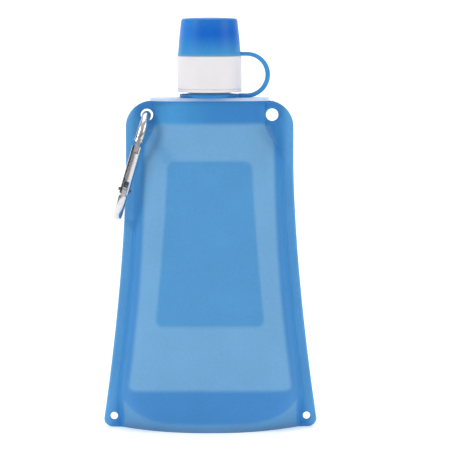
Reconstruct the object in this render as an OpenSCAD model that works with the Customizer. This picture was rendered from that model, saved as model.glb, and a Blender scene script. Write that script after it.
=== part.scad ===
// Folding silicone water bottle: a soft stand-up pouch on a hard threaded neck,
// a screw cap with a spout, a tethered dust cap and a small carabiner.
// Millimetres. +Z is up, the front faces -Y, and the base stands on Z = 0.

/* [Pouch] */
// Height of the silicone pouch
pouch_h = 186.5; // [182:0.5:190]
// Half width of the pouch where its sides run straight
top_half_w = 47.5; // [46:0.5:49]
// Half width of the pouch at its base
base_half_w = 61.5; // [58:0.5:62]
// Height above which the sides run straight
straight_z = 151; // [146:1:155]
// Width of the flat border down each side
border_w = 5.4; // [5:0.1:6]
// Thickness of the flat border, where front and back are one
border_t = 2.4; // [2:0.1:2.6]
// Wall of the pouch
wall = 1.4; // [1.2:0.1:1.6]
// Half depth of the pouch at its base
base_depth = 22; // [20:0.5:24]
// Half depth of the pouch at its mouth
mouth_depth = 13.5; // [13.2:0.1:14]
// Half width of the mouth
mouth_half_w = 31.5; // [31:0.1:32]
// Height of the crease across the middle, where the pouch folds
fold_z = 92; // [90:1:94]

/* [Eyelets] */
// Radius of the two upper eyelets
upper_eyelet_r = 3.5; // [3.4:0.1:3.7]
// Radius of the two lower eyelets
lower_eyelet_r = 2.1; // [1.8:0.1:2.4]

/* [Neck] */
// Outside radius of the neck
neck_r = 12; // [11.8:0.1:12]
// Radius of the neck's bore
neck_bore_r = 9.5; // [9:0.1:9.8]
// Rise of the thread in one turn
thread_pitch = 3.2; // [3.2:0.1:3.4]

/* [Caps] */
// Outside radius of the screw cap
cap_r = 18.2; // [18:0.1:18.5]
// Height of the screw cap's side
cap_h = 20.1; // [20:0.1:20.4]
// Height of the dust cap
dust_h = 21.2; // [21:0.1:22]
// Radius of the dust cap at its top
dust_top_r = 15.9; // [15.6:0.1:16.2]

/* [Carabiner] */
// Radius of the carabiner's bar
bar_r = 2.5; // [2.3:0.1:2.6]
// Radius of the carabiner's two bends, to the middle of the bar
bend_r = 13; // [12.8:0.1:13.2]
// Length of the carabiner between the middles of its end bars
clip_len = 59.5; // [59:0.5:61]
// Angle at which the carabiner hangs, with its foot past the pouch's edge
clip_lean = 16.3; // [16.3:0.1:18]

/* [Hidden] */
$fn = 96;
slack = 1;                       // how far a cut runs past the face it opens

// Pouch
flare_power = 1.6;               // how the sides curve out towards the base
heel_inset = 4;                  // how much the bulge narrows at the very base
heel_z = 20;                     // height at which it has its full width again
shoulder_z = 151.3;              // the bulge starts to narrow to the mouth here
mouth_z = 173.4;                 // and is as narrow as the mouth here
lens_power = 2.2;                // plan of the bulge at the base: a lens
tray_power = 12;                 // and above it: flat panels with steep sides
tray_z = 30;                     // height at which the panels are flat
tray_top_z = 138;                // the sides grow softer above this height
neck_power = 5;                  // plan of the bulge at the mouth
side_wall = 1;                   // wall at the ends of the cavity
corner_r = 15;                   // upper corners of the border
foot_r = 4.5;                    // lower corners of the border
cut_gap = 0.3;                   // gap between the two halves at the crease
seam_low = 4.6;                  // lowest point of the floor's seam, mid front
seam_high = 18.2;                // its ends, at the border
seam_half_w = 47;                // half width of the seam
seam_power = 6;                  // how square the seam's curve is
ridge_z = 19.5;                  // fold along the middle of the floor
floor_t = 1.4;                   // thickness of the floor
floor_gap = 0.35;                // between the floor and the walls round it
strip_gap = 0.05;                // between the lower wall and the border down each side
upper_eyelet = [35.4, 178.4];    // centre of an upper eyelet
lower_eyelet = [55.1, 6.2];      // centre of a lower eyelet

// Neck insert
plate_half_w = 33.7;             // half length of the plate over the mouth
plate_half_d = 14.6;
plate_t = 1.7;
plate_power = 3.2;
plate_z = pouch_h;
neck_z = plate_z + plate_t;
neck_top = neck_z + 19.7;
thread_h = 1.3;                  // height of a thread ridge
thread_root_w = 1.7;
thread_crest_w = 0.8;
thread_gap = 0.45;               // radial gap between neck and cap threads
thread_sink = 0.4;               // how deep a ridge is rooted in its wall
thread_turns = 2.25;
thread_z = neck_z + 7.5;
plug_gap = 0.05;
pocket_half_w = 5.5;             // the plug is cored out each side of the bore
pocket_half_d = 8;
pocket_x = 18.5;

// Caps
cap_z = neck_z + 3.2;            // underside of the screw cap
seal_t = 1.6;
seal_gap = 0.1;                  // above and below the seal
deck_z = neck_top + seal_t + 2 * seal_gap;
cap_top = cap_z + cap_h;
cap_wall = 2;
sleeve_r = neck_r + thread_h + thread_gap;
sleeve_wall = 1.5;
boss_r = 14.6;                   // seat of the dust cap
boss_h = 4.4;
spout_z = cap_top + boss_h;
spout_h = 10;
spout_r = 7.5;
spout_tip_r = 6.2;
spout_bore_r = 3.2;
dust_gap = 0.25;                 // between the dust cap and what it covers
dust_lip = 0.1;                  // between the two caps' rims
dust_rim_r = 17.95;
dust_wall = 2.4;
tab_w = 6;                       // width of the tether strap and its tabs
strap_t = 2.2;
strap_x = 21;                    // where the strap's round part starts
ring_r = 16.9;
ring_hole_r = 13.7;
ring_t = 1.65;
ring_z = neck_z + 0.3;
strap_gap = 0.3;

// Carabiner, in its own frame: the top bar's middle at the origin, spine at +Y
clip_mid_y = -2.5;
front_y = clip_mid_y - bend_r;
spine_y = clip_mid_y + bend_r;
lower_bend_z = -(clip_len - bend_r);
gate_r = 2.8;
gate_top = -17.6;
gate_bottom = -45.2;
hinge_z = -43;
pin_r = 0.9;
pin_gap = 0.05;
pin_len = 7.4;
tongue_t = 2.6;                  // thickness of the nose's and the hinge's tongue
tongue_gap = 0.25;
hinge_tongue_r = 2.2;
gate_slot_top = -38;
spring_top = -29.5;
spring_r = 0.85;                 // to the middle of the wire
wire_r = 0.2;
spring_turns = 8;
spring_bore_r = 1.2;
plunger_top = -37.2;
plunger_r = 1.05;

// ---- Outline of the pouch ----
function clamp01(t) = min(max(t, 0), 1);
function ease(t) = let (c = clamp01(t)) c * c * (3 - 2 * c);
function side_half(z) =
    top_half_w + (base_half_w - top_half_w) * pow(clamp01((straight_z - z) / straight_z), flare_power);
function bulge_half(z) =
    let (k = ease((z - shoulder_z) / (mouth_z - shoulder_z)))
    (side_half(z) - border_w - heel_inset * (1 - ease(z / heel_z))) * (1 - k) + mouth_half_w * k;
function depth(z) = base_depth + (mouth_depth - base_depth) * min(z, mouth_z) / mouth_z;
function squareness(z) =
    lens_power + (tray_power - lens_power) * ease(z / tray_z)
    + (neck_power - tray_power) * ease((z - tray_top_z) / (mouth_z - tray_top_z));
function panel_y(u, z, inset) = (depth(z) - inset) * (1 - pow(abs(u), squareness(z)));
function seam_z(x) =
    seam_low + (seam_high - seam_low) * pow(min(abs(x) / seam_half_w, 1), seam_power);

half_steps = [0, 0.3, 0.55, 0.7, 0.8, 0.88, 0.94, 0.98, 1];
steps = concat([for (i = [8:-1:1]) -half_steps[i]], half_steps);
last = len(steps) - 1;

// Half width of the flat border's outline, with its rounded corners
function outline_half(z) =
    z < foot_r ? side_half(foot_r) - foot_r + sqrt(foot_r * foot_r - pow(foot_r - z, 2))
    : z > pouch_h - corner_r
        ? top_half_w - corner_r + sqrt(max(corner_r * corner_r - pow(z - pouch_h + corner_r, 2), 0))
        : side_half(z);

// Outer ring at one height: border, front panel, border, back panel
function outer_ring(z) =
    let (w = bulge_half(z), e = outline_half(z), t = border_t / 2)
    concat([[-e, -t, z]],
           [for (u = steps) [u * w, -max(panel_y(u, z, 0), t), z]],
           [[e, -t, z], [e, t, z]],
           [for (i = [last:-1:0]) [steps[i] * w, max(panel_y(steps[i], z, 0), t), z]],
           [[-e, t, z]]);

// The same without the border
function tube_ring(z) =
    let (w = bulge_half(z), t = border_t / 2)
    concat([for (u = steps) [u * w, -max(panel_y(u, z, 0), t), z]],
           [for (i = [last:-1:0]) [steps[i] * w, max(panel_y(steps[i], z, 0), t), z]]);
// The border alone, on one side
function strip_ring(z, side) =
    let (a = bulge_half(z) + strip_gap, b = outline_half(z), t = border_t / 2,
         from = side > 0 ? a : -b, to = side > 0 ? b : -a)
    [[from, -t, z], [to, -t, z], [to, t, z], [from, t, z]];

// Point inside the wall, at a gap from it: side is -1 for the front panel, 1 for the back
function inner_point(u, z, side, gap) =
    [u * (bulge_half(z) - side_wall - gap), side * panel_y(u, z, wall + gap), z];
// Loop round the inside, with a height for each step across
function inner_loop(heights, gap = 0) =
    concat([for (i = [0:last]) inner_point(steps[i], heights[i], -1, gap)],
           [for (i = [last - 1:-1:1]) inner_point(steps[i], heights[i], 1, gap)]);
function level(z) = [for (u = steps) z];
function seam(rise) = [for (u = steps) seam_z(u * (bulge_half(seam_high) - side_wall)) + rise];
// The fold along the middle of the floor, without its two ends
function ridge(rise) =
    let (z = seam(rise))
    [for (i = [1:last - 1])
        [inner_point(steps[i], z[i], 1, floor_gap)[0], 0, max(ridge_z + rise, z[i])]];

// ---- Lofts ----
function side_faces(n, rows) =
    [for (r = [0:rows - 2], c = [0:n - 1], k = [0, 1])
        let (a = r * n + c, b = r * n + (c + 1) % n)
        k == 0 ? [a, a + n, b + n] : [a, b + n, b]];
// Triangles from the middle of a ring that starts at index s to its edge
function fan(s, n, middle, down) =
    [for (c = [0:n - 1]) let (a = s + c, b = s + (c + 1) % n) down ? [middle, a, b] : [middle, b, a]];
function middle_of(ring) = [0, 0, ring[0][2]];

module loft(rings) {
    n = len(rings[0]);
    rows = len(rings);
    polyhedron(concat([for (r = rings, p = r) p], [middle_of(rings[0]), middle_of(rings[rows - 1])]),
        concat(side_faces(n, rows), fan(0, n, rows * n, true),
               fan((rows - 1) * n, n, rows * n + 1, false)));
}

// Faces of a roof over an inner loop that starts at index s, with its ridge at index t
function roof_faces(s, t) =
    let (n = 2 * last,
         front = function (i) s + i,
         back = function (i) i == 0 ? s : i == last ? s + last : s + n - i,
         top = function (i) i == 0 ? s : i == last ? s + last : t + i - 1)
    [for (i = [0:last - 1], k = [0:3])
        let (f = k == 0 ? [front(i), front(i + 1), top(i + 1)]
               : k == 1 ? [front(i), top(i + 1), top(i)]
               : k == 2 ? [top(i), top(i + 1), back(i + 1)]
               : [top(i), back(i + 1), back(i)])
        if (f[0] != f[1] && f[1] != f[2] && f[0] != f[2]) f];
function flipped(faces) = [for (f = faces) [f[2], f[1], f[0]]];

// Sheet between two loops, each roofed to its own ridge
module roofed_sheet(low, high, low_ridge, high_ridge) {
    n = len(low);
    ridges = 2 * n;
    polyhedron(concat(low, high, low_ridge, high_ridge),
        concat(side_faces(n, 2), roof_faces(0, ridges),
               flipped(roof_faces(n, ridges + len(low_ridge)))));
}

// ---- Pouch ----
upper_low = fold_z + cut_gap / 2;
lower_high = fold_z - cut_gap / 2;
corner_rows = [for (i = [1:7]) pouch_h - corner_r + corner_r * sin(i * 90 / 7)];
foot_rows = [for (i = [0:5]) foot_r * (1 - cos(i * 18))];
shoulder_rows = [shoulder_z, 155, 159, 163, 167, 170.5];
heel_rows = [0, 3, 6, 9, 12, 15, 18, 21, 24, 30, 45, 60, 76];

module eyelet(at, r, side) {
    translate([side * at[0], 0, at[1]])
        rotate([90, 0, 0])
            cylinder(h = border_t + 2 * slack, r = r, center = true);
}

module pouch_upper() {
    rows = concat([upper_low, 108, 124, 140], shoulder_rows, corner_rows);
    color("cornflowerblue")
    difference() {
        loft([for (z = rows) outer_ring(z)]);
        loft([for (z = concat([upper_low - slack, 108, 124, 140], shoulder_rows, [mouth_z, pouch_h + slack]))
                 inner_loop(level(z))]);
        for (side = [-1, 1])
            eyelet(upper_eyelet, upper_eyelet_r, side);
    }
}

lower_rows = concat(foot_rows, [foot_r, 9, 14, 21, 30, 45, 60, 76, lower_high]);

module pouch_lower() {
    color("cornflowerblue")
    difference() {
        loft([for (z = lower_rows) tube_ring(z)]);
        loft([for (z = concat([-slack], heel_rows, [lower_high + slack])) inner_loop(level(z))]);
    }
}

// Flat border beside the lower wall, with its eyelet
module border(side) {
    rings = [for (z = lower_rows) strip_ring(z, side)];
    top = 4 * (len(rings) - 1);
    color("cornflowerblue")
    difference() {
        polyhedron([for (r = rings, p = r) p],
            concat(side_faces(4, len(rings)), [[0, 1, 2, 3], [top + 3, top + 2, top + 1, top]]));
        eyelet(lower_eyelet, lower_eyelet_r, side);
    }
}

module border_left() { border(-1); }
module border_right() { border(1); }

// Floor: a folded sheet across the foot, with a hollow below it
module pouch_floor() {
    color("cornflowerblue")
    roofed_sheet(inner_loop(seam(0), floor_gap), inner_loop(seam(floor_t), floor_gap),
                 ridge(0), ridge(floor_t));
}

// ---- Neck insert ----
// One ridge of thread, rooted in a wall of radius root and rising to radius crest
module thread(root, crest, start_angle, z, turns) {
    sections = round(36 * turns);
    sink = root < crest ? -thread_sink : thread_sink;
    profile = [[root + sink, -thread_root_w / 2], [crest, -thread_crest_w / 2],
               [crest, thread_crest_w / 2], [root + sink, thread_root_w / 2]];
    ring = root < crest ? profile : [for (i = [3:-1:0]) profile[i]];
    points = [for (s = [0:sections], p = ring)
        let (a = start_angle + 360 * turns * s / sections)
        [p[0] * cos(a), p[0] * sin(a), z + p[1] + thread_pitch * turns * s / sections]];
    polyhedron(points,
        concat([for (s = [0:sections - 1], c = [0:3], k = [0, 1])
                   let (a = 4 * s + c, b = 4 * s + (c + 1) % 4)
                   k == 0 ? [a, b + 4, a + 4] : [a, b, b + 4]],
               [[3, 2, 1, 0], [for (c = [0:3]) 4 * sections + c]]));
}

// Plan of a rounded boat shape
function boat(half_w, half_d, power) =
    [for (i = [0:71]) let (a = i * 5, c = cos(a), s = sin(a))
        [half_w * sign(c) * pow(abs(c), 2 / power), half_d * sign(s) * pow(abs(s), 2 / power)]];

module plug_plan() {
    w = mouth_half_w - side_wall - plug_gap;
    polygon(concat([for (u = steps) [u * w, -panel_y(u, mouth_z, wall + plug_gap)]],
                   [for (i = [last - 1:-1:1]) [steps[i] * w, panel_y(steps[i], mouth_z, wall + plug_gap)]]));
}

module neck_insert() {
    color("white")
    difference() {
        union() {
            translate([0, 0, plate_z])
                linear_extrude(plate_t)
                    polygon(boat(plate_half_w, plate_half_d, plate_power));
            translate([0, 0, mouth_z])
                linear_extrude(plate_z - mouth_z)
                    plug_plan();
            translate([0, 0, neck_z])
                cylinder(h = neck_top - neck_z, r = neck_r);
            thread(neck_r, neck_r + thread_h, 0, thread_z, thread_turns);
        }
        translate([0, 0, mouth_z - slack])
            cylinder(h = neck_top - mouth_z + 2 * slack, r = neck_bore_r);
        for (side = [-1, 1])
            translate([side * pocket_x - pocket_half_w, -pocket_half_d, mouth_z - slack])
                cube([2 * pocket_half_w, 2 * pocket_half_d, plate_z - mouth_z]);
    }
}

// ---- Screw cap ----
module ring(r_out, r_in, h) {
    difference() {
        cylinder(h = h, r = r_out);
        translate([0, 0, -slack])
            cylinder(h = h + 2 * slack, r = r_in);
    }
}

module cap_seal() {
    color("gainsboro")
    translate([0, 0, neck_top + seal_gap])
        ring(neck_r + thread_h, neck_bore_r - 1, seal_t);
}

module screw_cap() {
    groove_z = cap_z + 1.7;
    skirt_r = cap_r - cap_wall;
    color("white")
    union() {
        rotate_extrude()
            polygon([[skirt_r, cap_z], [cap_r - 0.3, cap_z], [cap_r, cap_z + 0.3],
                     [cap_r, groove_z - 0.35], [cap_r - 0.5, groove_z], [cap_r, groove_z + 0.35],
                     [cap_r, cap_top - 0.4], [cap_r - 0.4, cap_top], [boss_r, cap_top],
                     [boss_r - 0.2, spout_z - 0.5], [boss_r - 0.7, spout_z], [spout_tip_r - 1, spout_z],
                     [spout_tip_r - 1, deck_z], [sleeve_r, deck_z], [sleeve_r, cap_z + 1],
                     [sleeve_r + sleeve_wall, cap_z + 1], [sleeve_r + sleeve_wall, deck_z],
                     [skirt_r, deck_z]]);
        thread(sleeve_r, neck_r + thread_gap, 180, thread_z, thread_turns);
    }
}

module spout() {
    shank_r = spout_tip_r - 1;
    color("white")
    rotate_extrude()
        polygon([[spout_bore_r, deck_z], [shank_r, deck_z], [shank_r, spout_z],
                 [spout_r, spout_z], [spout_r, spout_z + 1.2], [spout_tip_r - 0.6, spout_z + spout_h - 3],
                 [spout_tip_r, spout_z + spout_h - 2], [spout_tip_r, spout_z + spout_h - 0.8],
                 [spout_tip_r - 0.8, spout_z + spout_h], [spout_bore_r + 0.3, spout_z + spout_h],
                 [spout_bore_r, spout_z + spout_h - 0.3]]);
}

// ---- Dust cap and its tether ----
dust_z = cap_top + dust_lip;
dust_top = dust_z + dust_h;
strap_r = (dust_z + strap_t / 2 - ring_z - ring_t / 2) / 2;
strap_mid_z = ring_z + ring_t / 2 + strap_r;

module tab(from_x, z, t) {
    translate([from_x, -tab_w / 2, z])
        cube([strap_x - strap_gap - from_x, tab_w, t]);
}

module dust_cap() {
    seat_r = boss_r + dust_gap;
    seat_h = boss_h + dust_gap;
    roof_z = dust_top - dust_wall;
    plug_r = spout_bore_r - dust_gap;
    color("dodgerblue")
    difference() {
        union() {
            rotate_extrude()
                polygon([[0, dust_z], [dust_rim_r, dust_z], [dust_rim_r - 0.05, dust_z + strap_t],
                         [dust_top_r, dust_top - 1.6], [dust_top_r - 0.5, dust_top - 0.5],
                         [dust_top_r - 1.6, dust_top], [0, dust_top + 0.4]]);
            tab(dust_rim_r - 1.5, dust_z, strap_t);
        }
        difference() {
            rotate_extrude()
                polygon([[0, dust_z - slack], [seat_r, dust_z - slack], [seat_r, dust_z + seat_h],
                         [seat_r - 1.2, dust_z + seat_h + 1.2], [dust_top_r - dust_wall, roof_z - 1],
                         [dust_top_r - dust_wall - 1, roof_z], [0, roof_z]]);
            translate([0, 0, spout_z + spout_h - 2])
                cylinder(h = roof_z - spout_z - spout_h + 2 + slack, r = plug_r);
        }
    }
}

module tether_ring() {
    color("dodgerblue")
    difference() {
        union() {
            translate([0, 0, ring_z])
                cylinder(h = ring_t, r = ring_r);
            tab(ring_hole_r + 1, ring_z, ring_t);
        }
        translate([0, 0, ring_z - slack])
            cylinder(h = ring_t + 2 * slack, r = ring_hole_r);
    }
}

module tether_strap() {
    color("dodgerblue")
    translate([strap_x, 0, strap_mid_z])
        rotate([90, 0, 0])
            rotate([0, 0, -90])
                rotate_extrude(angle = 180)
                    translate([strap_r - strap_t / 2, -tab_w / 2])
                        square([strap_t, tab_w]);
}

// ---- Carabiner ----
module hang() {
    translate([-upper_eyelet[0], 0, upper_eyelet[1]])
        rotate([0, clip_lean, 0])
            children();
}

// Half ring of bar about the X axis: up = 1 arches upwards, -1 downwards
module bend(z, up) {
    translate([0, clip_mid_y, z])
        rotate([0, 90, 0])
            rotate([0, 0, up > 0 ? 90 : -90])
                rotate_extrude(angle = 180)
                    translate([bend_r, 0])
                        circle(bar_r);
}

module along_x(r, len) {
    rotate([0, 90, 0])
        cylinder(h = len, r = r, center = true);
}

module carabiner_frame() {
    nose_len = 1.8;
    stub_top = -46.6;
    color("silver")
    hang()
    difference() {
        union() {
            bend(-bend_r, 1);
            bend(lower_bend_z, -1);
            translate([0, spine_y, lower_bend_z])
                cylinder(h = clip_len - 2 * bend_r, r = bar_r);
            translate([0, front_y, -bend_r - nose_len])
                cylinder(h = nose_len, r1 = bar_r + 0.45, r2 = bar_r);
            translate([-tongue_t / 2, front_y - 2, gate_top - 3.2])
                cube([tongue_t, 3.4, -bend_r - gate_top + 3.2]);
            translate([0, front_y, hinge_z])
                along_x(hinge_tongue_r, tongue_t);
            translate([-tongue_t / 2, front_y - hinge_tongue_r, stub_top - 0.2])
                cube([tongue_t, 2 * hinge_tongue_r, hinge_z - stub_top + 0.2]);
        }
        translate([0, front_y, hinge_z])
            along_x(pin_r, 2 * tongue_t);
    }
}

module carabiner_gate() {
    slot_t = tongue_t + 2 * tongue_gap;
    color("lightgray")
    hang()
    translate([0, front_y, 0])
    difference() {
        translate([0, 0, gate_bottom])
            cylinder(h = gate_top - gate_bottom, r = gate_r);
        // Slot that takes the nose, closed on the inner side
        translate([-slot_t / 2, -gate_r - slack, gate_top - 4])
            cube([slot_t, gate_r + slack + 1.7, 4 + slack]);
        // Slot for the hinge tongue
        translate([-slot_t / 2, -gate_r - slack, gate_bottom - slack])
            cube([slot_t, 2 * gate_r + 2 * slack, gate_slot_top - gate_bottom + slack]);
        // Groove along the outside
        rotate([0, 0, -32])
            translate([-0.65, -gate_r - slack, gate_slot_top + 3])
                cube([1.3, slack + 1.5, gate_top - gate_slot_top]);
        // Seat of the spring and plunger
        translate([0, 0, gate_slot_top - slack])
            cylinder(h = spring_top - gate_slot_top + slack, r = spring_bore_r);
        translate([0, 0, hinge_z])
            along_x(pin_r + pin_gap, 4 * gate_r);
    }
}

module gate_pin() {
    color("dimgray")
    hang()
    translate([0, front_y, hinge_z])
        along_x(pin_r, pin_len);
}

module gate_spring() {
    sides = 6;
    sections = 12 * spring_turns;
    height = spring_top - plunger_top - 2 * wire_r - 0.1;
    rings = [for (s = [0:sections])
        let (a = 360 * spring_turns * s / sections, z = plunger_top + wire_r + 0.05 + height * s / sections)
        [for (k = [0:sides - 1]) let (b = 360 * k / sides, r = spring_r + wire_r * cos(b))
            [r * cos(a), r * sin(a), z + wire_r * sin(b)]]];
    color("gray")
    hang()
    translate([0, front_y, 0])
        polyhedron([for (r = rings, p = r) p],
            concat([for (s = [0:sections - 1], c = [0:sides - 1], k = [0, 1])
                       let (a = sides * s + c, b = sides * s + (c + 1) % sides)
                       k == 0 ? [a, b + sides, a + sides] : [a, b, b + sides]],
                   [[for (c = [sides - 1:-1:0]) c], [for (c = [0:sides - 1]) sides * sections + c]]));
}

module gate_plunger() {
    foot_z = hinge_z + hinge_tongue_r + 0.3;
    color("gray")
    hang()
    translate([0, front_y, foot_z])
        cylinder(h = plunger_top - foot_z, r = plunger_r);
}

pouch_upper();
pouch_lower();
pouch_floor();
border_left();
border_right();
neck_insert();
cap_seal();
screw_cap();
spout();
dust_cap();
tether_strap();
tether_ring();
carabiner_frame();
carabiner_gate();
gate_pin();
gate_spring();
gate_plunger();
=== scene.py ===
"""Folding silicone water bottle, dressed around its CAD frame.

Each sub-assembly is a class that builds its meshes, or takes the CAD parts, and gives them
their finishes: the soft pouch, the neck and its screw cap, the tethered dust cap and the carabiner.
"""
import logging
import math
from collections.abc import Callable, Sequence
from dataclasses import dataclass, field
from enum import Enum

import bmesh
import bpy
import numpy as np
from mathutils import Matrix, Vector


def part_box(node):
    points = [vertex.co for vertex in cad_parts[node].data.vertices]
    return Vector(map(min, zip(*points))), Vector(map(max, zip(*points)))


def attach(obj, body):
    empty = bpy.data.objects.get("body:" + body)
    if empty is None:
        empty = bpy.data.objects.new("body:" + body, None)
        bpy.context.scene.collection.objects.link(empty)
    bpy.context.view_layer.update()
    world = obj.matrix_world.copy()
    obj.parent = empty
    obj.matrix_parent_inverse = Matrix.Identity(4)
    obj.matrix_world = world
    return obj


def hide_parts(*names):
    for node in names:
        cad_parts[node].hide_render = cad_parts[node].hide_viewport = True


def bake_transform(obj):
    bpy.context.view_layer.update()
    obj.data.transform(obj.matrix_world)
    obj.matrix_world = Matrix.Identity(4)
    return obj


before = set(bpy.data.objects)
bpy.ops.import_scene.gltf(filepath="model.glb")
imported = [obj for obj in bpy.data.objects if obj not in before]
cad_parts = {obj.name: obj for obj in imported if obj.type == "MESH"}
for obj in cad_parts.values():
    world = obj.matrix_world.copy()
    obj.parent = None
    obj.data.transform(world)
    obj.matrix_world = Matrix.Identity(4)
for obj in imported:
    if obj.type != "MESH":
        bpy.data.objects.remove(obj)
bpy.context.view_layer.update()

MM = 0.001
LOG = logging.getLogger("bottle")

Colour = tuple[float, float, float]
Array = np.ndarray


# ---------------------------------------------------------------- colours and shader nodes
def linear(red: int, green: int, blue: int) -> Colour:
    """Turn a display colour into the linear colour that shaders use.

    Args:
        red: Red, 0 to 255.
        green: Green, 0 to 255.
        blue: Blue, 0 to 255.

    Returns:
        The linear red, green and blue.
    """
    def one(value: int) -> float:
        """Turn one display value into its linear value."""
        v = value / 255
        return v / 12.92 if v <= 0.04045 else ((v + 0.055) / 1.055) ** 2.4

    return one(red), one(green), one(blue)


class Graph:
    """A new material's node tree, with its Principled shader and short ways to add nodes."""

    def __init__(self, name: str) -> None:
        """Start an empty material with one Principled shader.

        Args:
            name: The material's name.
        """
        self.material = bpy.data.materials.new(name)
        self.material.use_nodes = True
        self.tree = self.material.node_tree
        self.shader = self.tree.nodes["Principled BSDF"]

    def set(self, **values: object) -> None:
        """Set the shader's sockets; an underscore in a key stands for a space."""
        for key, value in values.items():
            self.shader.inputs[key.replace("_", " ")].default_value = value

    def node(self, kind: str, **values: object) -> bpy.types.Node:
        """Add a node.

        Args:
            kind: The node's type, without its ShaderNode prefix.
            **values: Properties of the node, or sockets where the node has no such property.

        Returns:
            The new node.
        """
        made = self.tree.nodes.new("ShaderNode" + kind)
        for key, value in values.items():
            if hasattr(made, key):
                setattr(made, key, value)
            else:
                made.inputs[key.replace("_", " ")].default_value = value
        return made

    def link(self, source: bpy.types.NodeSocket, target: bpy.types.NodeSocket) -> None:
        """Join an output to an input."""
        self.tree.links.new(source, target)

    def into(self, source: bpy.types.NodeSocket, socket: str) -> None:
        """Join an output to one of the shader's sockets."""
        self.link(source, self.shader.inputs[socket])

    def noise(self, scale: float, detail: float = 2.0, stretch: Sequence[float] = (1, 1, 1)
              ) -> bpy.types.NodeSocket:
        """Add noise in the piece's own space.

        Args:
            scale: Waves in a metre.
            detail: How many finer layers are added.
            stretch: How the noise is scaled along X, Y and Z.

        Returns:
            The noise's value, about 0 to 1.
        """
        place = self.node("TexCoord")
        spread = self.node("Mapping")
        spread.inputs["Scale"].default_value = tuple(stretch)
        self.link(place.outputs["Object"], spread.inputs["Vector"])
        made = self.node("TexNoise", Scale=scale, Detail=detail)
        self.link(spread.outputs["Vector"], made.inputs["Vector"])
        return made.outputs["Fac"]

    def ranged(self, value: bpy.types.NodeSocket, low: float, high: float,
               start: float = 0.3, end: float = 0.7) -> bpy.types.NodeSocket:
        """Map a value from one range to another.

        Args:
            value: The output to map.
            low: The result at start.
            high: The result at end.
            start: The value that gives low.
            end: The value that gives high.

        Returns:
            The mapped value.
        """
        made = self.node("MapRange")
        for key, number in (("From Min", start), ("From Max", end), ("To Min", low), ("To Max", high)):
            made.inputs[key].default_value = number
        self.link(value, made.inputs["Value"])
        return made.outputs["Result"]

    def tint(self, colour: bpy.types.NodeSocket | Colour, amount: bpy.types.NodeSocket
             ) -> bpy.types.NodeSocket:
        """Multiply a colour by a grey amount.

        Args:
            colour: A colour, or the output that gives one.
            amount: The output that gives the grey amount.

        Returns:
            The tinted colour.
        """
        made = self.node("Mix", data_type="RGBA", blend_type="MULTIPLY")
        made.inputs[0].default_value = 1.0
        if isinstance(colour, tuple):
            made.inputs[6].default_value = (*colour, 1.0)
        else:
            self.link(colour, made.inputs[6])
        self.link(amount, made.inputs[7])
        return made.outputs[2]

    def mix(self, first: bpy.types.NodeSocket | Colour, second: Colour, share: bpy.types.NodeSocket
            ) -> bpy.types.NodeSocket:
        """Mix two colours.

        Args:
            first: The colour where the share is 0, or the output that gives it.
            second: The colour where the share is 1.
            share: The output that gives the share.

        Returns:
            The mixed colour.
        """
        made = self.node("Mix", data_type="RGBA", blend_type="MIX")
        self.link(share, made.inputs[0])
        if isinstance(first, tuple):
            made.inputs[6].default_value = (*first, 1.0)
        else:
            self.link(first, made.inputs[6])
        made.inputs[7].default_value = (*second, 1.0)
        return made.outputs[2]

    def bump(self, height: bpy.types.NodeSocket, strength: float, distance: float) -> None:
        """Raise the surface by a height.

        Args:
            height: The output that gives the height.
            strength: How much of it shows, 0 to 1.
            distance: The height of a full step, in metres.
        """
        made = self.node("Bump", Strength=strength, Distance=distance)
        self.link(height, made.inputs["Height"])
        self.into(made.outputs["Normal"], "Normal")


# ---------------------------------------------------------------- finishes
@dataclass(frozen=True)
class Silicone:
    """Frosted translucent silicone, whose colour follows its thickness, with some painted light and shade
    in the pouch's tint.

    Attributes:
        name: The material's name.
        colour: Its colour, where no painted tint is used.
        painted: True to read the colour from the mesh's own tint.
        roughness: How matt it is.
        glow: How much light spreads inside it.
        grain: Strength of its fine grain.
        shine: How much it reflects.
    """

    name: str
    colour: Colour
    painted: bool = False
    roughness: float = 0.46
    glow: float = 0.12
    grain: float = 0.12
    shine: float = 0.42

    def material(self) -> bpy.types.Material:
        """Build the material."""
        g = Graph(self.name)
        g.set(IOR=1.41, Subsurface_Weight=self.glow, Subsurface_Scale=0.004,
              Subsurface_Radius=(0.35, 0.7, 1.0), Specular_IOR_Level=self.shine)
        cloud = g.ranged(g.noise(45, 3), 0.965, 1.03)
        speck = g.ranged(g.noise(1100, 3), 0.955, 1.045)
        both = g.node("Math", operation="MULTIPLY")
        g.link(cloud, both.inputs[0])
        g.link(speck, both.inputs[1])
        source: bpy.types.NodeSocket | Colour = self.colour
        if self.painted:
            source = g.node("Attribute", attribute_name="tint").outputs["Color"]
        g.into(g.tint(source, both.outputs[0]), "Base Color")
        g.into(g.ranged(g.noise(180, 3), self.roughness - 0.05, self.roughness + 0.06), "Roughness")
        g.bump(g.noise(2600, 2), self.grain, 0.0001)
        return g.material


@dataclass(frozen=True)
class MouldedPlastic:
    """Hard moulded plastic with a fine satin grain.

    Attributes:
        name: The material's name.
        colour: Its colour.
        roughness: How matt it is.
        glow: How much light spreads inside it.
    """

    name: str
    colour: Colour
    roughness: float = 0.38
    glow: float = 0.1

    def material(self) -> bpy.types.Material:
        """Build the material."""
        g = Graph(self.name)
        g.set(IOR=1.49, Subsurface_Weight=self.glow, Subsurface_Scale=0.003,
              Subsurface_Radius=(1.0, 0.9, 0.85))
        g.into(g.tint(self.colour, g.ranged(g.noise(60, 3), 0.97, 1.02)), "Base Color")
        g.into(g.ranged(g.noise(260, 4), self.roughness - 0.05, self.roughness + 0.07), "Roughness")
        g.bump(g.noise(3200, 3), 0.1, 0.00008)
        return g.material


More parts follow.
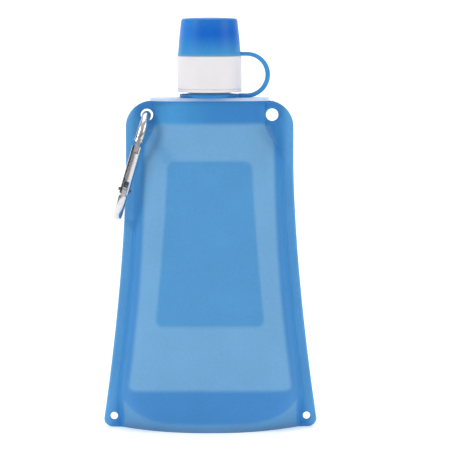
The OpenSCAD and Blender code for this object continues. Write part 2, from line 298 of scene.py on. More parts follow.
@dataclass(frozen=True)
class MilkyPlastic:
    """Milky translucent plastic that takes up the blue of the silicone round it, with painted shadow near
    the neck and a painted glow.

    Attributes:
        name: The material's name.
        inner: Its colour at the foot of the neck: the blue of the silicone beneath, darkened with painted
            shadow of the screw cap and ring.
        outer: Its colour at the ends of the plate.
        upper: Its colour on the threaded part of the neck.
        inner_r: Where the inner colour ends, in metres from the neck's axis.
        outer_r: Where the outer colour is full.
        upper_z: Height above which the upper colour shows.
        lit: Colour of its painted glow, an emission that stands in for light coming through it from
            behind.
        light: Strength of that painted glow.
    """

    name: str
    # The inner colour is partly painted shadow of the screw cap and ring.
    inner: Colour = linear(98, 140, 180)
    outer: Colour = linear(188, 196, 214)
    upper: Colour = linear(218, 224, 234)
    inner_r: float = 0.0122
    outer_r: float = 0.027
    upper_z: float = 0.1925
    lit: Colour = linear(110, 146, 184)
    light: float = 0.3

    def material(self) -> bpy.types.Material:
        """Build the material."""
        g = Graph(self.name)
        # The emission is a painted glow that stands in for light coming through the plastic.
        g.set(IOR=1.49, Subsurface_Weight=0.2, Subsurface_Scale=0.003, Subsurface_Radius=(0.9, 0.95, 1.0),
              Emission_Color=(*self.lit, 1), Emission_Strength=self.light)
        split = g.node("SeparateXYZ")
        g.link(g.node("TexCoord").outputs["Object"], split.inputs[0])
        flat = g.node("CombineXYZ")
        g.link(split.outputs["X"], flat.inputs["X"])
        g.link(split.outputs["Y"], flat.inputs["Y"])
        reach = g.node("VectorMath", operation="LENGTH")
        g.link(flat.outputs[0], reach.inputs[0])
        # Darker towards the neck's axis: the blue beneath, with painted shadow of the screw cap and ring.
        along = g.mix(self.inner, self.outer,
                      g.ranged(reach.outputs["Value"], 0, 1, self.inner_r, self.outer_r))
        whole = g.mix(along, self.upper,
                      g.ranged(split.outputs["Z"], 0, 1, self.upper_z, self.upper_z + 0.0012))
        g.into(g.tint(whole, g.ranged(g.noise(70, 3), 0.97, 1.02)), "Base Color")
        g.into(g.ranged(g.noise(260, 4), 0.26, 0.38), "Roughness")
        g.bump(g.noise(3000, 3), 0.08, 0.00008)
        return g.material


@dataclass(frozen=True)
class BrightMetal:
    """Polished metal with fine drawing marks along it.

    Attributes:
        name: The material's name.
        colour: Its colour.
        roughness: How matt it is.
        marks: Strength of its drawing marks.
    """

    name: str
    colour: Colour
    roughness: float = 0.16
    marks: float = 0.15

    def material(self) -> bpy.types.Material:
        """Build the material."""
        g = Graph(self.name)
        g.set(Metallic=1.0)
        g.into(g.tint(self.colour, g.ranged(g.noise(220, 4), 0.86, 1.04)), "Base Color")
        fine = g.noise(2400, 3, (1, 1, 0.12))
        g.into(g.ranged(fine, self.roughness - 0.05, self.roughness + 0.12), "Roughness")
        g.bump(g.noise(420, 4, (1, 1, 0.3)), self.marks, 0.0002)
        return g.material


class Tone(Enum):
    """Colours of the pouch's silicone, from the doubled border to the single skirt."""

    EDGE = linear(91, 162, 215)
    WALL = linear(58, 133, 196)
    PANEL = linear(111, 166, 210)
    PAD = linear(81, 149, 203)
    # The band tones: the thick band at the neck, painted lighter on its left as painted light and darker
    # on its right as painted shade.
    BAND_LIT_LEFT = linear(70, 150, 208)
    BAND_SHADED_RIGHT = linear(56, 130, 195)
    FLOOR = linear(67, 135, 197)
    SKIRT = linear(91, 150, 196)
    HEM = linear(93, 136, 178)
    SEAM = linear(72, 140, 203)


class CoverTone(Enum):
    """Colours of the dust cap, its ring and its strap."""

    DEEP = linear(12, 101, 198)
    SIDE = linear(42, 128, 214)
    PALE = linear(62, 146, 205)
    RIM = linear(80, 158, 214)
    RING = linear(46, 132, 204)
    STRAP = linear(64, 150, 214)


class Slot(Enum):
    """The record's material slots."""

    BODY = "blue_silicone"
    COVER = "deep_blue_silicone"
    INSERT = "clear_white_plastic"
    SEAL = "seal_silicone"
    CAP = "white_plastic"
    CLIP = "polished_aluminium"
    STEEL = "steel"


FINISHES = {
    Slot.BODY: Silicone("frosted_silicone", Tone.EDGE.value, painted=True, roughness=0.52, shine=0.26),
    Slot.COVER: Silicone("deep_silicone", linear(40, 125, 215), painted=True, roughness=0.36, grain=0.06,
                         shine=0.3),
    Slot.INSERT: MilkyPlastic("milky_plastic"),
    Slot.SEAL: Silicone("seal_silicone", linear(225, 226, 228)),
    Slot.CAP: MouldedPlastic("white_plastic", linear(233, 230, 233)),
    Slot.CLIP: BrightMetal("polished_aluminium", linear(210, 210, 213)),
    # The steel is darker than bare steel, partly painted shade, so that the plunger and spring in the
    # gate's slot read dark.
    Slot.STEEL: BrightMetal("steel", linear(96, 98, 102), 0.28),
}
MADE: dict[Slot, bpy.types.Material] = {}


def finish_of(slot: Slot) -> bpy.types.Material:
    """Give a slot's material, built the first time it is asked for."""
    if slot not in MADE:
        MADE[slot] = FINISHES[slot].material()
    return MADE[slot]


# ---------------------------------------------------------------- meshes
def smooth_step(value: Array | float, start: float, end: float) -> Array:
    """Rise smoothly from 0 at start to 1 at end.

    Args:
        value: Where to read it.
        start: Where it begins to rise, or fall if it is past end.
        end: Where it is 1.

    Returns:
        The share, 0 to 1.
    """
    t = np.clip((np.asarray(value, float) - start) / (end - start), 0, 1)
    return t * t * (3 - 2 * t)


def paint(mesh: bpy.types.Mesh, tints: Array) -> None:
    """Paint a mesh's tint, which the silicone's finish reads.

    Args:
        mesh: The mesh.
        tints: A linear colour for each of its points.
    """
    layer = mesh.attributes.new("tint", "FLOAT_COLOR", "POINT")
    rgba = np.ones((len(mesh.vertices), 4), np.float32)
    rgba[:, :3] = tints
    layer.data.foreach_set("color", rgba.ravel())


def make_piece(name: str, points: Array, faces: Sequence[Sequence[int]], slot: Slot,
               tints: Array | None = None) -> bpy.types.Object:
    """Make a closed, smooth mesh piece with its finish.

    Args:
        name: The piece's name.
        points: Its points, in millimetres in the part's frame.
        faces: Point numbers of each face.
        slot: The record's material slot that it takes.
        tints: A linear colour for each point, where the finish is painted.

    Returns:
        The new object, linked to the scene.
    """
    mesh = bpy.data.meshes.new(name)
    mesh.from_pydata((np.asarray(points) * MM).tolist(), [], [list(f) for f in faces])
    if tints is not None:
        paint(mesh, tints)
    bm = bmesh.new()
    bm.from_mesh(mesh)
    bmesh.ops.remove_doubles(bm, verts=bm.verts, dist=2e-6)
    bmesh.ops.dissolve_degenerate(bm, edges=bm.edges, dist=1e-7)
    bmesh.ops.recalc_face_normals(bm, faces=bm.faces)
    bm.to_mesh(mesh)
    bm.free()
    mesh.polygons.foreach_set("use_smooth", [True] * len(mesh.polygons))
    mesh.set_sharp_from_angle(angle=math.radians(50))
    mesh.materials.append(finish_of(slot))
    made = bpy.data.objects.new(name, mesh)
    bpy.context.scene.collection.objects.link(made)
    return made


def ring_faces(rings: int, columns: int, closed: bool = False) -> list[list[int]]:
    """Faces between rings of points that each go round.

    Args:
        rings: How many rings there are.
        columns: Points in a ring.
        closed: True to join the last ring to the first.

    Returns:
        Four-sided faces.
    """
    faces = []
    for r in range(rings if closed else rings - 1):
        for c in range(columns):
            d = (c + 1) % columns
            s = (r + 1) % rings
            faces.append([r * columns + c, r * columns + d, s * columns + d, s * columns + c])
    return faces


def lathe(profile: Sequence[tuple[float, float]], segments: int = 128
          ) -> tuple[Array, list[list[int]]]:
    """Turn a closed profile about the vertical axis.

    Args:
        profile: Radius and height of each corner, in order round the section.
        segments: Steps in a turn.

    Returns:
        The points and the faces.
    """
    turn = np.linspace(0, 2 * math.pi, segments, endpoint=False)
    points = [(r * math.cos(a), r * math.sin(a), z) for a in turn for r, z in profile]
    return np.array(points), ring_faces(segments, len(profile), closed=True)


def rounded(profile: Sequence[tuple[float, float, float]], steps: int = 5
            ) -> list[tuple[float, float]]:
    """Round the corners of a closed profile.

    Args:
        profile: Two coordinates and a rounding length for each corner.
        steps: Points on each rounded corner.

    Returns:
        The profile with its corners rounded.
    """
    out = []
    count = len(profile)
    for i, (x, y, r) in enumerate(profile):
        here = np.array((x, y), float)
        if r <= 0:
            out.append((x, y))
            continue
        before = np.array(profile[i - 1][:2], float) - here
        after = np.array(profile[(i + 1) % count][:2], float) - here
        a = here + before / np.linalg.norm(before) * min(r, np.linalg.norm(before) * 0.45)
        b = here + after / np.linalg.norm(after) * min(r, np.linalg.norm(after) * 0.45)
        for k in range(steps + 1):
            t = k / steps
            p = (1 - t) ** 2 * a + 2 * t * (1 - t) * here + t * t * b
            out.append((float(p[0]), float(p[1])))
    return out


def dress_node(node: str, slot: Slot, bevel: float = 0.0) -> bpy.types.Object:
    """Give a CAD node its finish, and round its edges where asked.

    Args:
        node: The node's name.
        slot: The material slot that it takes.
        bevel: Width of its rounded edges in millimetres, or 0 for none.

    Returns:
        The node's object.
    """
    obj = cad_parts[node]
    if isinstance(obj, str):
        obj = bpy.data.objects[obj]
    material = finish_of(slot)
    if obj.material_slots:
        for holder in obj.material_slots:
            holder.link = "OBJECT"
            holder.material = material
    else:
        obj.data.materials.append(material)
    if bevel:
        edge = obj.modifiers.new("soft_edges", "BEVEL")
        edge.width = bevel * MM
        edge.segments = 2
        edge.limit_method = "ANGLE"
        edge.angle_limit = math.radians(40)
        edge.harden_normals = True
    return obj


# ---------------------------------------------------------------- the pouch
@dataclass
class Pouch:
    """The soft pouch: one moulding with a flat border, two panels, a floor and a skirt.

    Sizes are in millimetres, and heights are above the base. An eyelet is given by its place
    across, its height and its radius.
    """

    height: float = 186.5
    top_half: float = 47.5
    base_half: float = 61.5
    straight_z: float = 151.0
    flare: float = 1.6
    border_w: float = 5.4
    border_t: float = 2.4
    wall: float = 1.4
    side_wall: float = 1.0
    base_depth: float = 22.0
    mouth_depth: float = 13.5
    mouth_half: float = 31.5
    mouth_z: float = 173.4
    shoulder_z: float = 151.3
    heel_inset: float = 4.0
    heel_z: float = 20.0
    corner_r: float = 15.0
    foot_r: float = 4.5
    seam_low: float = 5.3
    seam_high: float = 18.2
    seam_half: float = 49.5
    ridge_z: float = 19.5
    floor_t: float = 1.4
    fold_z: float = 92.0
    fold_reach: float = 32.0
    pad_low: float = 59.9
    pad_high: float = 152.9
    light_low: float = 23.0
    pad_top_half: float = 23.7
    pad_base_half: float = 30.7
    pad_rise: float = 0.45
    panel_sink: float = 0.3
    seam_rise: float = 0.28
    wave_rise: float = 0.16
    upper_eyelet: tuple[float, float, float] = (35.4, 178.4, 3.5)
    lower_eyelet: tuple[float, float, float] = (55.1, 6.2, 2.1)
    eyelet_lip: float = 0.35
    across: int = 121
    row_step: float = 1.2
    piece: bpy.types.Object | None = field(default=None, init=False)

    def side_half(self, z: Array | float) -> Array:
        """Half width of the whole outline at a height."""
        t = np.clip((self.straight_z - np.asarray(z, float)) / self.straight_z, 0, 1)
        return self.top_half + (self.base_half - self.top_half) * t**self.flare

    def outline_half(self, z: Array) -> Array:
        """Half width of the outline with its rounded corners."""
        z = np.asarray(z, float)
        foot = self.side_half(self.foot_r) - self.foot_r + np.sqrt(
            np.clip(self.foot_r**2 - (self.foot_r - z) ** 2, 0, None))
        top = self.top_half - self.corner_r + np.sqrt(
            np.clip(self.corner_r**2 - (z - self.height + self.corner_r) ** 2, 0, None))
        return np.where(z < self.foot_r, foot,
                        np.where(z > self.height - self.corner_r, top, self.side_half(z)))

    def bulge_half(self, z: Array | float) -> Array:
        """Half width of the part that stands out from the border."""
        k = smooth_step(z, self.shoulder_z, self.mouth_z)
        heel = self.heel_inset * (1 - smooth_step(z, 0, self.heel_z))
        return (self.side_half(z) - self.border_w - heel) * (1 - k) + self.mouth_half * k

    def depth(self, z: Array | float) -> Array:
        """Half depth of the pouch at its middle."""
        z = np.minimum(np.asarray(z, float), self.mouth_z)
        return self.base_depth + (self.mouth_depth - self.base_depth) * z / self.mouth_z

    def panel(self, u: Array, z: Array, inset: float = 0.0) -> Array:
        """Distance of a panel from the middle plane.

        Args:
            u: Place across, -1 to 1.
            z: Height.
            inset: How far inside the outer surface.

        Returns:
            The distance.
        """
        power = 2.2 + 9.8 * smooth_step(z, 0, 30) - 7.0 * smooth_step(z, 138, self.mouth_z)
        return (self.depth(z) - inset) * (1 - np.abs(u) ** power)

    def seam(self, x: Array) -> Array:
        """Height of the floor's seam across the pouch."""
        t = np.minimum(np.abs(x) / self.seam_half, 1)
        return self.seam_low + (self.seam_high - self.seam_low) * t**5

    def pad_mask(self, x: Array, z: Array, soft: float) -> Array:
        """Share of the thick pad at each point, 0 outside and 1 on it.

        Args:
            x: Places across.
            z: Heights.
            soft: Width of its edge.

        Returns:
            The share.
        """
        t = np.clip((self.pad_high - z) / (self.pad_high - self.pad_low), 0, 1)
        half = self.pad_top_half + (self.pad_base_half - self.pad_top_half) * t**1.35
        return self.box_mask(x, z, half, self.pad_low, self.pad_high, 4.6, soft)

    @staticmethod
    def box_mask(x: Array, z: Array, half: Array, low: float, high: float, corner: float,
                 soft: float) -> Array:
        """Share inside a rounded box whose half width may change with height.

        Args:
            x: Places across.
            z: Heights.
            half: Half width at each point.
            low: Lowest height.
            high: Highest height.
            corner: Corner radius.
            soft: Width of the edge.

        Returns:
            The share, 0 to 1.
        """
        qx = np.abs(x) - half + corner
        qz = np.abs(z - (low + high) / 2) - (high - low) / 2 + corner
        distance = (np.minimum(np.maximum(qx, qz), 0)
                    + np.hypot(np.maximum(qx, 0), np.maximum(qz, 0)) - corner)
        return smooth_step(-distance, -soft / 2, soft / 2)

    def columns(self) -> tuple[Array, Array, Array]:
        """Columns of a ring, anticlockwise from the left border's front.

        Returns:
            For each column: place across the bulge, place across the border (0 to 1, above 1 on
            its rounded edge), and the side, -1 in front and 1 behind.
        """
        u = np.sin(np.linspace(-math.pi / 2, math.pi / 2, self.across))
        f = np.array([0.25, 0.5, 0.75, 0.9, 1.0, 1.3, 1.6, 1.85])
        zero = np.zeros_like
        bulge = np.concatenate([-np.ones_like(f), u, np.ones_like(f), np.ones_like(f), u[::-1],
                                -np.ones_like(f)])
        border = np.concatenate([f[::-1], zero(u), f, f[::-1], zero(u), f])
        side = np.concatenate([-np.ones(len(f) + len(u) + len(f)), np.ones(len(f) + len(u) + len(f))])
        return bulge, border, side

    def outer(self, rows: Array) -> Array:
        """Outer surface, ring by ring.

        Args:
            rows: Heights of the rings.

        Returns:
            Points of shape rings, columns, 3.
        """
        bulge, border, side = self.columns()
        z = np.repeat(rows[:, None], len(bulge), axis=1)
        w = self.bulge_half(z)
        e = self.outline_half(z)
        t = self.border_t / 2
        x_in = bulge * w
        flat = np.clip(border, 0, 1)
        curl = np.clip(border - 1, 0, 1) * math.pi / 2
        reach = np.maximum(e - t - w, 0.2)
        x = np.sign(bulge) * (w + reach * flat + np.minimum(t, e - w) * np.sin(curl))
        x = np.where(border > 0, x, x_in)
        gap = np.abs(np.abs(x) - w)
        y = np.where(border > 0, t * np.cos(curl), np.hypot(self.panel(bulge, z), t))
        y = y + np.where(border > 1, 0, 0.5 * np.exp(-gap / 0.7) * (1 - np.clip(border, 0, 1)))
        y = y + self.relief(x, z) * (border == 0)
        return np.stack([x, side * y, z], axis=-1)

    def relief(self, x: Array, z: Array) -> Array:
        """How far the panels' mouldings stand out: pad, panel edge, seam and a gentle waviness.

        Args:
            x: Places across.
            z: Heights.

        Returns:
            The height of the relief.
        """
        pad = self.pad_rise * self.pad_mask(x, z, 1.4)
        light = self.light_mask(x, z, 1.6)
        seam = self.seam_rise * np.exp(-(((z - self.seam(x)) / 0.8) ** 2))
        seam = seam * (np.abs(x) < self.seam_half + 2)
        wave = self.wave_rise * np.sin(x * 0.083 + 1.3 * np.sin(z * 0.041)) * np.sin(z * 0.057 + 0.7)
        inner = 1 - smooth_step(np.abs(x), 33, 40)
        calm = 1 - smooth_step(z, 150, 170)
        return pad - self.panel_sink * light + seam + wave * inner * calm

    def light_mask(self, x: Array, z: Array, soft: float) -> Array:
        """Share of the thin, light panel at each point.

        Args:
            x: Places across.
            z: Heights.
            soft: Width of its edge.

        Returns:
            The share.
        """
        slope = np.where(x < 0, 0.48 * np.clip(z - 162, 0, 12), 0.55 * np.clip(z - 165.5, 0, 8))
        half = self.side_half(z) - 11.1 - 0.9 * smooth_step(z, 140, 65) - slope
        return self.box_mask(x, z, half, self.light_low, self.mouth_z + 0.2, 4.0, soft)

    def tints(self, points: Array) -> Array:
        """Colour of each point, mostly from how thick the silicone is there, with painted light and shade:
        a lit left and shaded right on the band at the neck, and a painted shade line at the light panel's
        top left.

        Args:
            points: Points of the pouch.

        Returns:
            A linear colour for each point.
        """
        x, z = points[:, 0], points[:, 2]

        def over(base: Array, tone: Tone, share: Array) -> Array:
            """Lay a tone over the colours by its share."""
            return base * (1 - share[:, None]) + np.array(tone.value) * share[:, None]

        base = np.tile(np.array(Tone.EDGE.value), (len(points), 1))
        edge = self.side_half(z)
        base = over(base, Tone.WALL, smooth_step(edge - np.abs(x), 2.5, 7.5))
        # Thick band under the neck, with painted light on its left and painted shade on its right, as from
        # the key light on the left.
        band = smooth_step(z, 166, 173.5) * (1 - smooth_step(np.abs(x), 27, 35))
        base = over(base, Tone.BAND_LIT_LEFT, band)
        base = over(base, Tone.BAND_SHADED_RIGHT, band * smooth_step(x, -30, 10))
        light = self.light_mask(x, z, 3.2)
        base = over(base, Tone.PANEL, light)
        # Painted shade: a soft dark diagonal line across the light panel's top left corner, up to 28% of
        # the way to the wall tone.
        diagonal_shade = np.exp(-(((x + 17) * 0.79 - (146 - z) * 0.61) / 3.4) ** 2)
        diagonal_shade = diagonal_shade * smooth_step(z, 140, 150) * (1 - smooth_step(z, 166, 172)) * (x < 0)
        base = over(base, Tone.WALL, light * diagonal_shade * 0.28)
        base = over(base, Tone.PAD, self.pad_mask(x, z, 1.6))
        under = z - self.seam(x)
        floor = 1 - smooth_step(z, self.light_low - 1.6, self.light_low + 2.2)
        floor = floor * smooth_step(under, -0.3, 0.7)
        floor = floor * (1 - smooth_step(np.abs(x), 46.5, 48.5))
        base = over(base, Tone.FLOOR, floor)
        skirt = smooth_step(-under, -0.5, 0.5) * (1 - smooth_step(np.abs(x), 48.4, 50))
        skirt = skirt * (z < self.seam_high)
        base = over(base, Tone.SKIRT, skirt)
        base = over(base, Tone.HEM, skirt * smooth_step(z, 4.5, 0.5))
        line = np.exp(-((under / 0.7) ** 2)) * (np.abs(x) < self.seam_half) * 0.5
        return over(base, Tone.SEAM, line)

    def inner(self, heights: Array) -> Array:
        """Inner surface at the heights given for each column.

        Args:
            heights: Heights of shape rings, columns.

        Returns:
            Points of shape rings, columns, 3, with the border's columns drawn together.
        """
        bulge, _, side = self.columns()
        x = bulge * (self.bulge_half(heights) - self.side_wall)
        y = side * self.panel(np.broadcast_to(bulge, heights.shape), heights, self.wall)
        return np.stack([x, y, heights], axis=-1)

    def floor_rows(self, rise: float, steps: int) -> Array:
        """The floor's surface from its seam to the fold along its middle.

        Args:
            rise: Height above the underside.
            steps: How many rings.

        Returns:
            Points of shape rings, columns, 3, from the seam inwards.
        """
        bulge, _, _ = self.columns()
        seam = self.seam(bulge * (float(self.bulge_half(self.seam_high)) - self.side_wall)) + rise
        edge = self.inner(seam[None, :])[0]
        top = np.maximum(self.ridge_z + rise, seam)
        rings = []
        for t in np.linspace(0, 1, steps):
            y = edge[:, 1] * (1 - t)
            z = seam + (top - seam) * t + 0.8 * math.sin(math.pi * t) * (top > seam + 1)
            rings.append(np.stack([edge[:, 0], y, z], axis=-1))
        return np.array(rings)

    def rows(self) -> Array:
        """Heights of the outer rings, close together where the outline's corners are round."""
        foot = self.foot_r * (1 - np.cos(np.linspace(0, math.pi / 2, 8)))
        body = np.arange(self.foot_r + self.row_step, self.height - 4, self.row_step)
        top = self.height - self.corner_r + self.corner_r * np.sin(
            np.linspace(math.asin((self.corner_r - 4) / self.corner_r), math.pi / 2, 9))
        return np.concatenate([foot, body, top])

    def build(self) -> None:
        """Make the pouch as one closed mesh, from the floor's underside round to its top."""
        columns = len(self.columns()[0])
        under = self.floor_rows(0.0, 7)
        share = np.linspace(0, 1, 8)[1:-1, None]
        hollow = self.inner(under[0][None, :, 2] * (1 - share))
        rim = self.inner(np.zeros((1, columns)))
        cavity_floor = self.floor_rows(self.floor_t, 7)
        down = np.linspace(self.height, 24, 40)[:, None] * np.ones((1, columns))
        share = np.array([0.3, 0.65])[:, None]
        low = down[-1][None, :] * (1 - share) + cavity_floor[0][None, :, 2] * share
        rings = np.concatenate([under[::-1], hollow, rim, self.outer(self.rows()), self.inner(down),
                                self.inner(low), cavity_floor])
        points = rings.reshape(-1, 3)
        self.piece = make_piece("silicone_pouch", points, ring_faces(len(rings), columns), Slot.BODY)
        self.cut_eyelets()
        place = np.array([v.co for v in self.piece.data.vertices]) / MM
        paint(self.piece.data, self.tints(place))

    def cut_eyelets(self) -> None:
        """Cut the four eyelets through the border."""
        past, lip, half = 2.0, self.eyelet_lip, self.border_t / 2
        for name, side, (x, z, r) in (("ul", -1, self.upper_eyelet), ("ur", 1, self.upper_eyelet),
                                      ("ll", -1, self.lower_eyelet), ("lr", 1, self.lower_eyelet)):
            profile = [(0.0, -past), (r + lip + past - half, -past), (r + lip, -half),
                       (r + 0.1, lip - half), (r, 0.0), (r + 0.1, half - lip),
                       (r + lip, half), (r + lip + past - half, past), (0.0, past)]
            points, faces = lathe(profile, 48)
            turned = np.stack([points[:, 0] + side * x, points[:, 2], points[:, 1] + z], axis=-1)
            cutter = make_piece("cutter_" + name, turned, faces, Slot.BODY)
            cut = self.piece.modifiers.new("eyelet_" + name, "BOOLEAN")
            cut.operation = "DIFFERENCE"
            cut.solver = "EXACT"
            cut.object = cutter
            bpy.context.view_layer.update()
            whole = bpy.data.meshes.new_from_object(
                self.piece.evaluated_get(bpy.context.evaluated_depsgraph_get()))
            self.piece.modifiers.clear()
            self.piece.data = whole
            bpy.data.objects.remove(cutter)

    def dress(self) -> None:
        """Stand the pouch in for the CAD halves, floor and borders, which are hidden, and fix its
        transform.
        """
        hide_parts("pouch_upper", "pouch_lower", "pouch_floor", "border_left", "border_right")
        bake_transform(self.piece)


# ---------------------------------------------------------------- neck and caps
class NeckAndCap:
    """The hard parts at the top: the neck insert, the seal, the screw cap and the spout."""

    def dress(self) -> None:
        """Give the CAD parts their finishes."""
        dress_node("neck_insert", Slot.INSERT)
        dress_node("cap_seal", Slot.SEAL)
        dress_node("screw_cap", Slot.CAP)
        dress_node("spout", Slot.CAP)


@dataclass
class DustCover:
    """The blue dust cap, its strap and the ring round the neck, all one silicone moulding."""

    rim_r: float = 17.95
    top_r: float = 15.65
    height: float = 21.2
    seat_r: float = 14.85
    seat_h: float = 4.65
    skin: float = 2.4
    plug_r: float = 2.95
    ring_r: float = 16.9
    ring_hole_r: float = 13.7
    strap_w: float = 6.0
    strap_t: float = 2.2
    strap_swell: float = 0.4
    strap_x: float = 21.2

    @staticmethod
    def tones(points: Array, low: float) -> Array:
        """Colour of the cap: lighter where the white seat stands behind it, and at its sides.

        Args:
            points: Points of the cap.
            low: The cap's lowest height.

        Returns:
            A linear colour for each point.
        """
        z = points[:, 2]
        deep = np.array(CoverTone.DEEP.value)
        side = np.array(CoverTone.SIDE.value)
        pale = np.array(CoverTone.PALE.value)
        rim = np.array(CoverTone.RIM.value)
        flank = smooth_step(np.abs(points[:, 0] - 4.0), 8.0, 19.0)[:, None]
        deep = deep * (1 - flank) + side * flank
        share = (1 - smooth_step(z - low, 0.5, 13.0))[:, None]
        base = deep * (1 - share) + pale * share
        top = smooth_step(z - low, 17.5, 21.8)[:, None] * 0.5
        base = base * (1 - top) + pale * top
        edge = (1 - smooth_step(z - low, 0.6, 1.4))[:, None]
        return base * (1 - edge) + rim * edge

    def build_cap(self) -> bpy.types.Object:
        """Make the dust cap with its seat inside and the plug that closes the spout."""
        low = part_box("dust_cap")[0][2] / MM
        top = low + self.height
        spout_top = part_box("spout")[1][2] / MM
        roof = top - self.skin
        inner = self.top_r - self.skin
        profile = rounded([
            (0.0, spout_top - 2, 0), (self.plug_r, spout_top - 2, 0.5), (self.plug_r, roof, 0.6),
            (inner - 1, roof, 0.8), (inner, roof - 1, 0.8),
            (self.seat_r - 1.2, low + self.seat_h + 1.2, 0.4),
            (self.seat_r, low + self.seat_h, 0.4), (self.seat_r, low, 0.3), (self.rim_r, low, 0.25),
            (self.rim_r, low + 1.15, 0.2), (self.rim_r - 0.22, low + 1.25, 0.15),
            (self.rim_r - 0.3, low + 1.6, 0.3),
            ((self.rim_r + self.top_r) / 2 + 0.05, low + 11, 3.0),
            (self.top_r + 0.1, top - 0.3, 1.3), (self.top_r - 4.5, top + 0.15, 2.5), (0.0, top + 0.4, 0)])
        points, faces = lathe(profile, 144)
        return make_piece("dust_cap_shell", points, faces, Slot.COVER, self.tones(points, low))

    def build_ring(self) -> bpy.types.Object:
        """Make the ring that turns freely on the neck."""
        low, high = (corner[2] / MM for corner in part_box("tether_ring"))
        profile = rounded([(self.ring_hole_r, low, 0.5), (self.ring_r, low, 0.5),
                           (self.ring_r, high, 0.5), (self.ring_hole_r, high, 0.5)])
        points, faces = lathe(profile, 128)
        tint = np.tile(np.array(CoverTone.RING.value), (len(points), 1))
        return make_piece("neck_ring", points, faces, Slot.COVER, tint)

    def build_strap(self) -> bpy.types.Object:
        """Make the flat strap, a half circle with straight roots in the cap and in the ring."""
        ring_low, ring_high = (corner[2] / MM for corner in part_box("tether_ring"))
        cap_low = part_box("dust_cap")[0][2] / MM
        bottom = (ring_low + ring_high) / 2
        top = cap_low + self.strap_t / 2
        radius = (top - bottom) / 2
        sunk, step, steps = 2.6, 0.4, 12
        path = [(self.rim_r - sunk + step * k, top) for k in range(steps)]
        path += [(self.strap_x + radius * math.sin(a), bottom + radius * (1 + math.cos(a)))
                 for a in np.linspace(0, math.pi, 49)]
        path += [(self.strap_x - step * (k + 1), bottom) for k in range(steps)]
        line = np.array(path)
        along = np.gradient(line, axis=0)
        along /= np.linalg.norm(along, axis=1)[:, None]
        wide, thin = self.strap_w / 2, self.strap_t / 2
        section = rounded([(-wide, -thin, 0.7), (wide, -thin, 0.7), (wide, thin, 0.7), (-wide, thin, 0.7)])
        points = []
        for (x, z), (dx, dz) in zip(line, along):
            thick = 1 + self.strap_swell / self.strap_t * abs(dz)
            points += [(x - dz * t * thick, w, z + dx * t * thick) for w, t in section]
        faces = ring_faces(len(line), len(section))
        count = len(section)
        faces.append(list(range(count - 1, -1, -1)))
        faces.append([(len(line) - 1) * count + k for k in range(count)])
        tint = np.tile(np.array(CoverTone.STRAP.value), (len(points), 1))
        return make_piece("tether_strap_band", np.array(points), faces, Slot.COVER, tint)

    def build(self) -> None:
        """Build the three parts of the moulding, hang the cap and the ring, and fix the strap in place."""
        cap = self.build_cap()
        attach(cap, "dust_cover")
        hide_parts("dust_cap")
        ring = self.build_ring()
        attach(ring, "neck_loop")
        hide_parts("tether_ring")
        strap = self.build_strap()
        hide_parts("tether_strap")
        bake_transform(strap)


class Carabiner:
    """The small clip: a bent bar, a sprung gate, its rivet, spring and plunger."""

    def dress(self) -> None:
        """Give the CAD parts their finishes."""
        dress_node("carabiner_frame", Slot.CLIP)
        dress_node("carabiner_gate", Slot.CLIP, 0.3)
        for node in ("gate_pin", "gate_spring", "gate_plunger"):
            dress_node(node, Slot.STEEL)


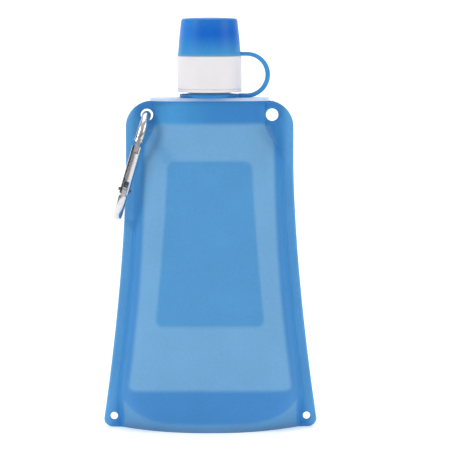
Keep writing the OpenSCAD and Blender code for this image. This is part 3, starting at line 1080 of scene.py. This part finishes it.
# ---------------------------------------------------------------- studio
@dataclass
class Studio:
    """The pale floor and backdrop, the soft lights and the camera.

    The flags are dark bands of the world at both sides. flag_side, flag_low and flag_high give
    where they fade in sideways, fade in upwards and fade out upwards, and flag_dark how dark they are.
    """

    distance: float = 1.2
    eye: float = 0.23125
    aim_x: float = 0.0086
    aim_z: float = 0.11575
    view_width: float = 0.2557
    roll: float = math.radians(0.12)
    key_power: float = 13.5
    fill_power: float = 9.3
    top_power: float = 10.0
    world_level: tuple[float, float] = (0.3, 0.58)
    flag_side: tuple[float, float] = (0.66, 0.8)
    flag_low: tuple[float, float] = (0.07, 0.14)
    flag_high: tuple[float, float] = (0.33, 0.58)
    flag_dark: float = 0.04
    paper_glow: float = 0.26

    def floor(self) -> None:
        """Make a floor that curves up into a backdrop."""
        front, bend, radius, height, half = -1.6, 0.9, 0.7, 2.6, 2.4
        profile = [(front, 0.0), (bend, 0.0)]
        profile += [(bend + radius * math.sin(a), radius * (1 - math.cos(a)))
                    for a in np.linspace(0.1, math.pi / 2, 16)]
        profile.append((bend + radius, height))
        points = [(x, y, z) for y, z in profile for x in (-half, half)]
        faces = [[2 * i, 2 * i + 1, 2 * i + 3, 2 * i + 2] for i in range(len(profile) - 1)]
        mesh = bpy.data.meshes.new("studio_floor")
        mesh.from_pydata(points, [], faces)
        mesh.polygons.foreach_set("use_smooth", [True] * len(mesh.polygons))
        g = Graph("studio_paper")
        g.set(Base_Color=(0.94, 0.94, 0.945, 1), Roughness=0.9, Emission_Color=(1, 1, 1, 1),
              Emission_Strength=self.paper_glow)
        mesh.materials.append(g.material)
        made = bpy.data.objects.new("studio_floor", mesh)
        bpy.context.scene.collection.objects.link(made)

    def light(self, name: str, place: Sequence[float], size: float, power: float,
              aim: Sequence[float] = (0, 0, 0.11)) -> None:
        """Add a square soft light.

        Args:
            name: Its name.
            place: Where it stands.
            size: Length of its side.
            power: Its power in watts.
            aim: The point it faces.
        """
        data = bpy.data.lights.new(name, "AREA")
        data.size = size
        data.energy = power
        made = bpy.data.objects.new(name, data)
        made.location = place
        made.rotation_euler = (Vector(aim) - Vector(place)).to_track_quat("-Z", "Y").to_euler()
        bpy.context.scene.collection.objects.link(made)

    def camera(self) -> None:
        """Set the camera a little above the neck, looking slightly down."""
        data = bpy.data.cameras.new("camera")
        place = Vector((self.aim_x, -self.distance, self.eye))
        aim = Vector((self.aim_x, 0, self.aim_z))
        data.sensor_width = 36
        data.lens = 36 * (aim - place).length / self.view_width
        made = bpy.data.objects.new("camera", data)
        turn = (aim - place).to_track_quat("-Z", "Y").to_matrix().to_4x4()
        made.matrix_world = Matrix.Translation(place) @ turn @ Matrix.Rotation(-self.roll, 4, "Z")
        bpy.context.scene.collection.objects.link(made)
        bpy.context.scene.camera = made

    def world(self) -> None:
        """Light the world, brighter above, with dark flags that give the metal its streaks."""
        world = bpy.data.worlds.new("studio")
        world.use_nodes = True
        back = world.node_tree.nodes["Background"]
        nodes, links = world.node_tree.nodes, world.node_tree.links
        place = nodes.new("ShaderNodeTexCoord")
        split = nodes.new("ShaderNodeSeparateXYZ")
        links.new(place.outputs["Generated"], split.inputs[0])

        def ranged(source: bpy.types.NodeSocket, start: float, end: float, low: float, high: float
                   ) -> bpy.types.NodeSocket:
            """Map a value smoothly from start and end to low and high."""
            made = nodes.new("ShaderNodeMapRange")
            made.interpolation_type = "SMOOTHSTEP"
            for key, number in (("From Min", start), ("From Max", end), ("To Min", low), ("To Max", high)):
                made.inputs[key].default_value = number
            links.new(source, made.inputs["Value"])
            return made.outputs["Result"]

        def times(first: bpy.types.NodeSocket, second: bpy.types.NodeSocket) -> bpy.types.NodeSocket:
            """Multiply two values."""
            made = nodes.new("ShaderNodeMath")
            made.operation = "MULTIPLY"
            links.new(first, made.inputs[0])
            links.new(second, made.inputs[1])
            return made.outputs[0]

        side = nodes.new("ShaderNodeMath")
        side.operation = "ABSOLUTE"
        links.new(split.outputs["X"], side.inputs[0])
        height = times(ranged(split.outputs["Z"], *self.flag_low, 0, 1),
                       ranged(split.outputs["Z"], *self.flag_high, 1, 0))
        flag = times(ranged(side.outputs[0], *self.flag_side, 0, 1), height)
        level = ranged(split.outputs["Z"], -0.1, 0.7, *self.world_level)
        links.new(times(level, ranged(flag, 0, 1, 1, self.flag_dark)), back.inputs["Strength"])
        back.inputs["Color"].default_value = (1, 1, 1, 1)
        bpy.context.scene.world = world

    def build(self) -> None:
        """Set up the whole studio."""
        self.floor()
        self.world()
        bpy.context.scene.view_settings.view_transform = "Standard"
        self.light("key", (-1.5, -0.8, 1.15), 1.0, self.key_power)
        self.light("fill", (1.6, -0.65, 0.85), 1.0, self.fill_power)
        self.light("top", (0, 0.3, 1.6), 1.4, self.top_power)
        self.camera()


def main() -> None:
    """Build every sub-assembly in order."""
    logging.basicConfig(level=logging.INFO, format="%(message)s")
    pouch = Pouch()
    steps: list[tuple[str, Callable[[], None]]] = [
        ("pouch mesh", pouch.build), ("pouch fold", pouch.dress),
        ("neck and screw cap", NeckAndCap().dress), ("dust cover", DustCover().build),
        ("carabiner", Carabiner().dress), ("studio", Studio().build)]
    for name, step in steps:
        step()
        LOG.info("built %s", name)


if __name__ == "__main__":
    main()
